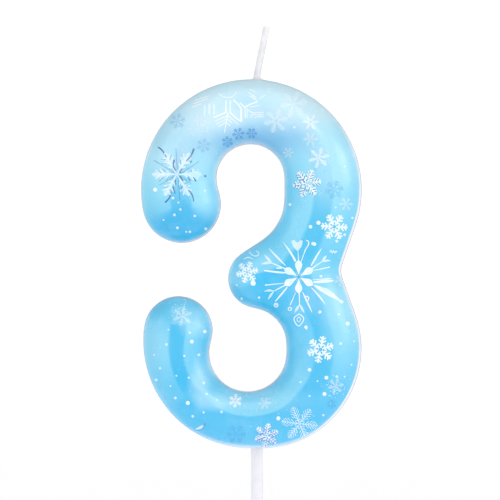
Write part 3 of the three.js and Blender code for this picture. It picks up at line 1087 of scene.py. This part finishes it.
def printFlakes(name, ink, strokes, spots, arms=6):
    arm = drawing(name + "Arm", strokes)
    printPiece(name, ink, spots, flakePrint, {"Arm": arm, "Arms": arms, "Step": printShape["step"]})
    removeObject(arm)


def printSpecks(name, ink, spots, sides=14):
    printPiece(name, ink, spots, speckPrint, {"Sides": sides}, printShape["speckLift"])


# Both sides of a stroke that leaves the arm's line
def pair(line, widths):
    return [(line, widths), ([(x, -y) for x, y in line], widths)]


def branches(places, angle, widths):
    strokes = []
    lean = math.radians(angle)
    for place, length in places:
        strokes += pair([(place, 0), (place + length * math.cos(lean), length * math.sin(lean))], widths)
    return strokes


def shifted(spots, across, up):
    return [(x + across, z + up, size, turn) for x, z, size, turn in spots]


# Crisp fern flakes: three pairs of branches on a broad arm. The first pairs meet in a ring.
fernFlake = {
    "arm": [([(0.10, 0), (0.98, 0)], (0.05, 0.075))]
    + branches([(0.27, 0.24), (0.50, 0.34), (0.74, 0.27)], 54, (0.06, 0.052)),
    "spots": [(15.6, 45.0, 2.75, -3), (12.8, 20.2, 2.8, 18)],
    "small": [(-2.0, 35.8, 2.3, 12), (-4.4, 9.8, 1.35, 25)],
    "hearts": [(15.6, 45.0, 0.36, 0), (12.8, 20.2, 0.36, 0)],
}
printFlakes("ink_fern_flakes", "white", fernFlake["arm"], fernFlake["spots"])
printFlakes("ink_fern_small", "white", fernFlake["arm"], fernFlake["small"])
printSpecks("ink_fern_hearts", "blue", fernFlake["hearts"])

# A white flake with slate strokes beside its own, as if it cast a shadow
shadedFlake = {
    "arm": [([(0.06, 0), (1.0, 0)], (0.04, 0.05))]
    + branches([(0.22, 0.26), (0.42, 0.34), (0.62, 0.30), (0.82, 0.2)], 50, 0.042),
    "strokes": [([(0.12, 0.03), (0.88, 0.03)], (0.03, 0.02))]
    + branches([(0.32, 0.30), (0.52, 0.34), (0.72, 0.26)], 50, (0.028, 0.02)),
    "spots": [(10.1, 53.8, 2.9, 8)],
    "violet": [(1.9, 2.8, 2.5, 20)],
}
printFlakes("ink_shaded_flake", "white", shadedFlake["arm"], shadedFlake["spots"])
printFlakes("ink_shaded_strokes", "slate", shadedFlake["strokes"],
            shifted(shadedFlake["spots"], -0.12, -0.10))
printFlakes("ink_violet_flake", "white", shadedFlake["arm"], shadedFlake["violet"])
printFlakes("ink_violet_strokes", "violet", shadedFlake["strokes"],
            shifted(shadedFlake["violet"], 0.12, -0.10) + shifted(shadedFlake["violet"], -0.15, -0.28))

# Small flakes in deep blue
blueFlake = {
    "arm": [([(0.10, 0), (0.92, 0)], (0.05, 0.075))]
    + branches([(0.48, 0.34), (0.74, 0.26)], 58, (0.07, 0.04)),
    "spots": [(-3.8, 63.8, 1.3, 10), (-6.0, 62.2, 1.2, 35), (-1.1, 63.9, 1.15, 0)],
    "faint": [(-16.1, 66.4, 1.7, 15), (15.6, 52.5, 2.0, 12), (-4.2, 3.0, 2.1, 0), (-10.8, 61.4, 1.5, 20),
              (15.1, 9.1, 1.0, 30)],
}
printFlakes("ink_blue_flakes", "navy", blueFlake["arm"], blueFlake["spots"])
printFlakes("ink_blue_faint", "blue", blueFlake["arm"], blueFlake["faint"])

# Soft thinned flakes
frostFlake = {
    "arm": [([(0.0, 0), (1.0, 0)], (0.04, 0.05))]
    + branches([(0.2, 0.18), (0.36, 0.28), (0.52, 0.32), (0.68, 0.26), (0.84, 0.16)], 42, 0.032),
    "thinArm": [([(0.0, 0), (1.0, 0)], (0.022, 0.02))]
    + branches([(0.15, 0.16), (0.30, 0.28), (0.45, 0.34), (0.60, 0.30), (0.75, 0.22), (0.88, 0.12)],
               46, 0.018),
    "thin": [(8.6, 5.2, 3.7, -7)],
    "spots": [(12.5, 58.9, 2.1, 15), (10.8, 66.2, 1.7, 0)],
    "faint": [(10.8, 62.7, 1.5, 0), (3.8, 66.4, 2.5, 12), (-15.1, 26.9, 2.0, 20), (6.3, 60.0, 1.1, 0),
              (7.4, 69.8, 2.8, 10), (15.9, 12.8, 1.6, 12), (-11.6, 66.4, 1.3, 0), (-13.6, 31.6, 1.3, 30),
              (18.0, 49.6, 1.4, 0), (16.9, 34.2, 1.3, 20), (-7.6, 32.4, 1.5, 10), (1.5, 9.3, 1.3, 5)],
}
printFlakes("ink_frost_thin", "frost", frostFlake["thinArm"], frostFlake["thin"])
printFlakes("ink_frost_flakes", "frost", frostFlake["arm"], frostFlake["spots"])
printFlakes("ink_frost_faint", "mist", frostFlake["arm"], frostFlake["faint"])


# The great crystal: six swollen nodes, long rays, leaves, curls and a diamond, drawn in millimetres
def ringLine(x, y, radius, count=12):
    return [(x + radius * math.cos(2 * math.pi * i / count), y + radius * math.sin(2 * math.pi * i / count))
            for i in range(count + 1)]


crystal = {
    "place": (8.4, 34.9, 1.0, 0),
    "nodes": [([(0.5, 0), (1.3, 0), (2.0, 0), (2.7, 0), (3.3, 0)], (0.08, 0.34, 0.66, 0.70, 0.12))],
    "nodeTurn": 90,
    "heartSize": 0.2,
    "spokes": [([(0.25, 0), (1.1, 0)], (0.05, 0.03))],
    "rays": [
        ([(0.0, 3.0), (-0.15, 5.3)], (0.10, 0.06)),
        ([(-0.6, 3.1), (-1.7, 5.0), (-3.2, 7.1)], (0.20, 0.18, 0.04)),
        ([(0.5, 3.0), (0.95, 4.3), (1.4, 5.5), (2.0, 6.5), (1.95, 7.2), (1.5, 7.3)], (0.07, 0.12, 0.10)),
        ([(2.5, 2.2), (3.6, 4.1), (4.65, 5.75)], (0.10, 0.17, 0.03)),
        ([(2.8, 1.75), (4.7, 3.05)], (0.10, 0.07)),
        ([(3.0, 1.25), (6.3, 1.95)], (0.05, 0.15)),
        ([(3.0, -1.1), (5.2, -0.95), (7.1, -0.75)], (0.18, 0.28, 0.12)),
        ([(2.6, -2.2), (4.2, -4.0), (5.4, -5.6)], (0.08, 0.16, 0.04)),
        ([(3.0, -1.7), (4.4, -2.4), (6.2, -3.4), (8.6, -5.0)], (0.06, 0.40, 0.48, 0.10)),
        ([(0.1, -3.2), (0.2, -5.7)], (0.12, 0.08)),
        ([(-0.6, -3.2), (-1.7, -5.7)], (0.05, 0.12)),
        ([(0.8, -3.1), (1.7, -5.0), (2.7, -7.2)], (0.06, 0.18, 0.04)),
        ([(1.3, -4.0), (1.9, -4.0), (2.0, -4.7), (1.5, -4.9)], 0.12),
        ([(-2.7, -1.7), (-5.0, -2.9)], (0.12, 0.08)),
        ([(-2.3, -2.1), (-3.6, -3.7), (-4.7, -5.0)], (0.10, 0.17, 0.10)),
        ([(-3.0, -1.3), (-6.8, -1.7)], (0.05, 0.13)),
        ([(-2.7, 0.8), (-4.6, 0.95), (-7.0, 1.25)], (0.14, 0.20, 0.12)),
        ([(-2.7, 1.6), (-5.4, 2.75)], (0.12, 0.10)),
        ([(-2.6, 2.2), (-4.3, 3.9), (-6.0, 5.7)], (0.06, 0.20, 0.05)),
        ([(-3.4, 1.75), (-4.5, 1.75)], 0.14),
        (ringLine(-4.55, -5.75, 0.42), 0.09),
        (ringLine(-1.75, -6.5, 0.36), 0.10),
        ([(0.1, -7.5), (-0.95, -8.5), (0.0, -10.0), (1.05, -8.5), (0.1, -7.5)], 0.10),
        ([(0.05, -8.1), (-0.35, -8.6), (0.02, -9.2), (0.45, -8.6), (0.05, -8.1)], 0.07),
        ([(6.3, 4.9), (6.55, 5.4), (6.8, 4.7), (7.05, 5.4), (7.3, 4.7), (7.6, 5.3), (7.75, 4.9)], 0.08),
    ],
    "leaves": [
        ([(-0.2, 5.2), (-0.75, 6.3), (-1.15, 7.35)], (0.05, 0.42, 0.34)),
        ([(-0.2, 5.2), (0.2, 6.3), (0.55, 7.35)], (0.05, 0.42, 0.30)),
        ([(-0.3, 5.9), (-0.3, 7.0)], 0.30),
        ([(4.7, 3.05), (5.2, 3.7), (5.6, 4.3)], (0.05, 0.28, 0.04)),
        ([(4.7, 3.05), (5.6, 3.25), (6.5, 3.25)], (0.05, 0.26, 0.04)),
        ([(0.2, -5.6), (-0.3, -6.4), (-0.85, -7.3)], (0.06, 0.26, 0.05)),
        ([(0.2, -5.6), (0.65, -6.4), (1.15, -7.3)], (0.06, 0.26, 0.05)),
        ([(-5.0, -2.9), (-6.0, -2.75), (-7.0, -3.0)], (0.05, 0.24, 0.04)),
        ([(-5.0, -2.9), (-5.6, -3.7), (-6.2, -4.6)], (0.05, 0.24, 0.04)),
        ([(-5.3, 2.7), (-6.1, 3.5), (-6.9, 4.4)], (0.06, 0.26, 0.05)),
        ([(-5.3, 2.7), (-6.4, 2.8), (-7.6, 2.55)], (0.06, 0.30, 0.05)),
        ([(4.2, -2.1), (5.6, -2.7), (7.3, -3.6)], (0.05, 0.34, 0.05)),
        ([(2.9, -0.6), (5.0, -0.5), (6.7, -0.35)], (0.05, 0.16, 0.05)),
        ([(-10.0, 5.0), (-9.3, 4.3), (-8.4, 4.2), (-8.0, 4.8), (-8.6, 5.2)], 0.11),
        ([(-11.2, 3.5), (-10.2, 3.9), (-9.1, 3.5)], (0.05, 0.14, 0.05)),
    ],
    "pearls": [(4.5, 0.1, 0.30, 0), (8.7, -5.1, 0.34, 0), (2.9, 6.7, 0.36, 0), (4.3, -7.1, 0.34, 0),
               (1.5, -10.2, 0.36, 0), (-8.0, -4.2, 0.24, 0)],
}
printFlakes("ink_crystal_leaves", "frost", crystal["leaves"], [crystal["place"]], arms=1)
printFlakes("ink_crystal_rays", "white", crystal["rays"], [crystal["place"]], arms=1)
printFlakes("ink_crystal_nodes", "white", crystal["nodes"], [(*crystal["place"][:3], crystal["nodeTurn"])])
printFlakes("ink_crystal_spokes", "frost", crystal["spokes"], [crystal["place"]])
printSpecks("ink_crystal_heart", "steel", [(*crystal["place"][:2], crystal["heartSize"], 0)])
printSpecks("ink_crystal_pearls", "white", shifted(crystal["pearls"], *crystal["place"][:2]))

# The engraved flake: white chevroned arms with slate pen strokes over them
engraved = {
    "place": (-16.2, 55.6, 1.0, 0),
    "arms": [([(0.1, 0), (2.4, 0), (5.0, 0)], (0.07, 0.26, 0.14))]
    + branches([(1.5, 1.0), (2.4, 1.5), (3.4, 1.3)], 48, (0.17, 0.13)),
    "mist": [([(2.2, 0), (3.8, 0), (5.0, 0)], (0.3, 0.75, 0.2))],
    "bold": [
        ([(-3.85, 5.55), (-2.95, 4.8), (-2.1, 3.4)], (0.10, 0.16, 0.09)),
        ([(3.45, 5.2), (2.85, 3.75), (1.9, 2.7)], (0.20, 0.14, 0.12)),
        ([(1.4, 4.0), (1.65, 3.3)], (0.12, 0.16)),
        ([(0.72, 2.95), (1.0, 2.5), (0.8, 2.1)], 0.12),
        ([(-0.55, 2.95), (-0.7, 1.6), (-0.17, 0.67)], (0.16, 0.13, 0.10)),
        ([(0.97, 0.25), (0.5, 0.42), (1.05, 1.1)], 0.12),
        ([(-0.2, -1.1), (-0.42, -1.7), (-0.17, -2.1)], 0.12),
        ([(-0.84, -2.5), (-0.34, -3.9)], (0.14, 0.10)),
        ([(-2.2, -3.46), (-1.8, -3.1), (-1.2, -3.46), (-1.55, -4.8), (-2.4, -5.7)],
         (0.10, 0.10, 0.14, 0.16)),
        ([(0.55, -0.34), (1.27, -1.43)], (0.16, 0.10)),
        ([(1.14, -2.36), (0.8, -3.0)], 0.13),
        ([(1.65, -3.3), (1.35, -4.05)], 0.12),
        ([(2.3, -3.1), (3.1, -4.2), (3.4, -5.5)], (0.09, 0.13, 0.09)),
        ([(3.0, 0.76), (2.5, 0.17)], 0.12),
        ([(4.1, 0.76), (3.4, 0.08)], 0.12),
        ([(2.2, -0.6), (2.74, -1.35)], 0.13),
        ([(3.3, -0.6), (3.84, -1.43)], 0.12),
        ([(3.0, 2.7), (2.66, 2.28)], 0.12),
    ],
    "light": [
        ([(-0.2, 5.2), (-0.13, 3.97), (0.0, 2.28), (0.13, 1.0)], 0.075),
        ([(4.45, 2.6), (2.7, 1.4), (0.97, 0.25)], 0.075),
        ([(-4.7, 2.87), (-2.2, 1.35), (-0.55, 0.34)], (0.10, 0.075)),
        ([(-0.63, -0.42), (-2.74, -1.77), (-3.6, -2.1)], (0.08, 0.06)),
        ([(0.3, -0.7), (0.42, -3.2), (0.6, -5.2)], 0.07),
        ([(0.8, -0.45), (2.9, -1.9)], 0.06),
        ([(-1.18, 4.05), (-1.43, 2.7), (-1.27, 2.2)], 0.09),
        ([(-4.26, 1.0), (-3.0, 0.17)], 0.09),
        ([(-3.0, 1.0), (-1.65, 0.17)], 0.09),
        ([(-3.6, -1.43), (-2.7, -0.5)], 0.09),
        ([(-2.2, -1.35), (-1.65, -0.5)], 0.09),
        ([(-3.3, 3.1), (-2.2, 2.95)], 0.07),
        ([(-3.1, 2.2), (-2.0, 2.1)], 0.07),
        ([(0.8, 1.77), (1.14, 1.69), (1.5, 1.94)], 0.08),
        ([(1.56, -2.1), (2.15, -2.3)], 0.08),
        ([(-2.6, -2.8), (-1.5, -2.35)], 0.07),
    ],
    "pearls": [(5.7, -0.34, 0.22, 0)],
}
printFlakes("ink_engraved_mist", "mist", engraved["mist"], [engraved["place"]])
printFlakes("ink_engraved_arms", "frost", engraved["arms"], [engraved["place"]])
printFlakes("ink_engraved_light", "steel", engraved["light"], [engraved["place"]], arms=1)
printFlakes("ink_engraved_bold", "slate", engraved["bold"], [engraved["place"]], arms=1)
printSpecks("ink_engraved_pearl", "slate", shifted(engraved["pearls"], *engraved["place"][:2]))

# A pale smear with a dark hook at its end, low on the left
smear = {
    "place": (-11.5, 4.5, 1.0, 0),
    "pale": [([(-0.9, -0.5), (0.0, -0.15), (0.7, 0.3)], (0.12, 0.28, 0.22))],
    "hook": [([(0.35, -0.3), (0.8, 0.2), (0.95, 0.8)], (0.08, 0.16, 0.08)),
             ([(-0.9, -0.75), (0.2, -0.5)], 0.08)],
}
printFlakes("ink_smear_pale", "frost", smear["pale"], [smear["place"]], arms=1)
printFlakes("ink_smear_hook", "violet", smear["hook"], [smear["place"]], arms=1)

# The lattice flake at the top: double lines, open hexagons and nested chevrons, drawn from the stick's axis
lattice = {
    "place": (0.0, 0.0, 1.0, 0),
    "strong": [
        ([(-6.28, 70.5), (-6.28, 68.1)], 0.14),
        ([(-5.42, 70.5), (-5.42, 68.1)], 0.14),
        ([(-6.28, 68.1), (-8.8, 67.1)], 0.14),
        ([(-5.42, 68.1), (-4.4, 67.1), (-3.35, 66.35)], 0.14),
        ([(-4.8, 70.6), (-4.0, 69.9), (-3.2, 68.9)], 0.17),
        ([(-3.2, 68.9), (-3.2, 66.2)], 0.18),
        ([(-2.4, 69.2), (-1.2, 69.8), (0.1, 70.3)], 0.16),
        ([(-3.5, 70.1), (-2.4, 69.0)], 0.12),
        ([(-2.4, 69.0), (-2.4, 67.0)], 0.10),
        ([(-5.85, 68.0), (-6.2, 66.2), (-6.6, 64.0)], (0.14, 0.07)),
        ([(-1.9, 68.6), (-0.9, 68.0)], 0.09),
    ],
    "soft": [
        ([(-6.1, 67.4), (-8.5, 66.3)], 0.10),
        ([(-6.15, 66.8), (-8.2, 65.7)], 0.10),
        ([(-6.3, 66.1), (-7.8, 65.2)], 0.10),
        ([(-5.8, 67.4), (-4.5, 66.3), (-3.8, 65.7)], 0.10),
        ([(-5.9, 66.7), (-5.0, 65.9)], 0.10),
        ([(-6.1, 66.0), (-5.4, 65.4)], 0.10),
        ([(-1.64, 72.9), (-0.35, 72.2)], 0.12),
        ([(-1.8, 72.2), (-0.2, 71.1)], 0.12),
        ([(-1.5, 71.5), (0.0, 70.5)], 0.12),
        ([(-9.64, 69.9), (-9.64, 67.7)], 0.18),
        ([(-8.7, 69.7), (-8.7, 67.7)], 0.18),
        ([(-10.6, 69.6), (-10.6, 67.4)], 0.16),
        ([(-2.0, 69.0), (-2.0, 67.0)], 0.10),
        ([(-1.1, 68.0), (1.4, 68.1)], 0.12),
        ([(-1.2, 67.1), (-0.9, 67.6), (1.4, 67.6)], 0.12),
        ([(-0.6, 67.0), (-0.3, 67.2), (1.4, 67.2)], 0.10),
        ([(-1.5, 69.2), (0.6, 69.5)], 0.10),
        ([(-12.5, 70.6), (-9.6, 71.5)], 0.13),
        ([(-12.9, 69.9), (-9.8, 70.9)], 0.13),
        ([(-13.2, 69.2), (-11.2, 69.9)], 0.13),
        ([(-7.8, 72.0), (-6.6, 71.2), (-5.2, 71.2), (-4.1, 72.2)], 0.12),
        ([(0.5, 70.9), (1.6, 71.6)], 0.12),
    ],
}
printFlakes("ink_lattice_soft", "frost", lattice["soft"], [lattice["place"]], arms=1)
printFlakes("ink_lattice_strong", "white", lattice["strong"], [lattice["place"]], arms=1)

# Falling snow: round specks, the larger ones fewer, as across, up and size in millimetres
snowfall = {
    "large": [
        (-13.2, 21.8, 0.40), (-14.0, 9.4, 0.42), (14.0, 14.5, 0.40), (13.6, 11.2, 0.40), (18.3, 25.4, 0.42),
        (-0.8, 33.6, 0.52), (-20.6, 52.5, 0.42), (12.4, 45.8, 0.42), (10.8, 45.0, 0.36), (4.3, 6.3, 0.40),
        (11.6, 41.5, 0.36), (10.6, 16.1, 0.36), (-10.6, 23.8, 0.36), (16.9, 29.9, 0.34),
    ],
    "small": [
        (-17.9, 24.2), (-13.6, 23.6), (-18.3, 21.2), (-20.8, 19.1), (-14.7, 18.9), (-11.8, 19.1),
        (-16.3, 14.9), (-13.8, 14.5), (-10.8, 13.4), (-17.5, 12.8), (-10.2, 11.2), (-16.5, 10.4),
        (-8.1, 10.0), (-10.8, 7.5), (-13.0, 6.7), (12.2, 13.8), (8.8, 13.6), (16.1, 14.7),
        (17.7, 14.7), (10.6, 10.8), (16.9, 21.4), (19.1, 17.1), (16.5, 27.3), (12.6, 27.7),
        (10.0, 24.4), (12.8, 35.0), (16.1, 42.1), (-4.1, 33.2), (-3.1, 30.5), (3.9, 29.3),
        (6.9, 28.5), (13.4, 6.9), (-20.4, 14.0), (-15.9, 49.9), (-15.5, 48.5), (-16.7, 47.4),
        (-18.9, 46.4), (-12.6, 47.2), (-16.1, 44.8), (-14.3, 44.0), (-13.6, 44.0), (-10.4, 44.6),
        (-10.6, 52.3), (7.5, 65.1), (6.7, 49.5), (15.9, 48.9), (19.3, 46.8), (17.7, 43.4),
        (17.7, 57.2), (-19.6, 16.4), (-7.2, 7.6), (19.6, 21.8), (14.8, 31.4), (-17.0, 50.8),
    ],
    "smallSizes": (0.20, 0.25, 0.30),
}

# Fine glitter in loose clusters, as across, up, spread and count
glitter = {
    "clusters": [(-15.4, 27.6, 2.0, 70), (15.6, 12.6, 1.9, 60), (9.6, 5.0, 2.6, 70), (12.6, 59.4, 1.8, 60),
                 (10.8, 53.2, 2.4, 40), (-11.0, 66.2, 2.2, 30), (1.6, 9.6, 2.4, 40)],
    "deviations": 1.6,
    "sizes": (0.06, 0.12),
    "sides": 6,
    "seed": 11,
}
chance = np.random.default_rng(glitter["seed"])
glints = []
for x, z, spread, count in glitter["clusters"]:
    reach = spread / glitter["deviations"]
    for _ in range(count):
        across, up = chance.normal(0, reach), chance.normal(0, reach)
        glints.append((x + across, z + up, chance.uniform(*glitter["sizes"]), 0))
printSpecks("ink_glitter", "frost", glints, glitter["sides"])
printSpecks("ink_snow_large", "white", [(x, z, size, 0) for x, z, size in snowfall["large"]])
printSpecks("ink_snow_small", "frost", [(x, z, snowfall["smallSizes"][i % 3], 0)
                                        for i, (x, z) in enumerate(snowfall["small"])], 10)


# The studio: a pale floor, white surroundings, soft lights and a long lens

studio = {
    "across": -1.43 * mm,
    "height": 90.3 * mm,
    "viewHeight": 101.8 * mm,
    "distance": 1.0,
    "sky": 0.46,
    "tentGlow": 0.48,
    "tentRadius": 2.4,
    "tentBend": 0.5,
    "tentHeight": 1.0,
    # place, target height, size, power in watts
    "lights": {
        "topSoftbox": ((0.0, -0.34, 0.58), 0.09, 0.44, 0.74),
        "leftSoftbox": ((-0.50, -0.38, 0.36), 0.09, 0.26, 0.22),
        "keySoftbox": ((0.26, -0.58, 0.40), 0.09, 0.15, 0.24),
        "rightSoftbox": ((0.52, -0.34, 0.26), 0.09, 0.26, 0.42),
    },
}


# A round floor that curves up into a low white wall, with a backing so that it is closed.
def makeTent():
    radius, bend = studio["tentRadius"], studio["tentBend"]
    flat = radius - bend
    profile = [(0, 0), (flat * 0.3, 0), (flat, 0)]
    for part in np.linspace(0, math.pi / 2, 14)[1:]:
        profile.append((flat + bend * math.sin(part), bend * (1 - math.cos(part))))
    profile += [(radius, studio["tentHeight"]), (radius + 0.02, studio["tentHeight"])]
    profile += [(radius + 0.02, -0.02), (0, -0.02)]
    tent = finishMesh(turned("studioTent", profile, 96))
    material, tree, shader = newMaterial("tentCloth")
    grain = noiseAt(tree, objectPlace(tree), 40, 3)
    tree.links.new(ramp(tree, grain, [(0.3, (0.80, 0.80, 0.81)), (0.7, (0.83, 0.83, 0.84))]),
                   shader.inputs["Base Color"])
    shader.inputs["Roughness"].default_value = 0.9
    shader.inputs["Emission Color"].default_value = (1, 1, 1, 1)
    shader.inputs["Emission Strength"].default_value = studio["tentGlow"]
    tent.data.materials.append(material)


def makeLights():
    for name, (place, aim, size, power) in studio["lights"].items():
        data = bpy.data.lights.new(name, "AREA")
        data.shape = "SQUARE"
        data.size = size
        data.energy = power
        lamp = bpy.data.objects.new(name, data)
        lamp.location = place
        lamp.rotation_euler = (Vector((0, 0, aim)) - Vector(place)).to_track_quat("-Z", "Y").to_euler()
        lamp.visible_camera = False
        bpy.context.scene.collection.objects.link(lamp)
    world = bpy.data.worlds.new("whiteSurround")
    bpy.context.scene.world = world
    world.use_nodes = True
    world.node_tree.nodes["Background"].inputs["Color"].default_value = (1, 1, 1, 1)
    world.node_tree.nodes["Background"].inputs["Strength"].default_value = studio["sky"]


def makeCamera():
    data = bpy.data.cameras.new("camera")
    data.sensor_width = 36
    data.lens = 36 * studio["distance"] / studio["viewHeight"]
    data.clip_start = 0.01
    data.clip_end = 20
    camera = bpy.data.objects.new("camera", data)
    camera.location = (studio["across"], -studio["distance"], studio["height"])
    camera.rotation_euler = (math.pi / 2, 0, 0)
    bpy.context.scene.collection.objects.link(camera)
    bpy.context.scene.camera = camera


makeTent()
makeLights()
makeCamera()
bpy.context.scene.view_settings.view_transform = "Standard"
print("studio ready")
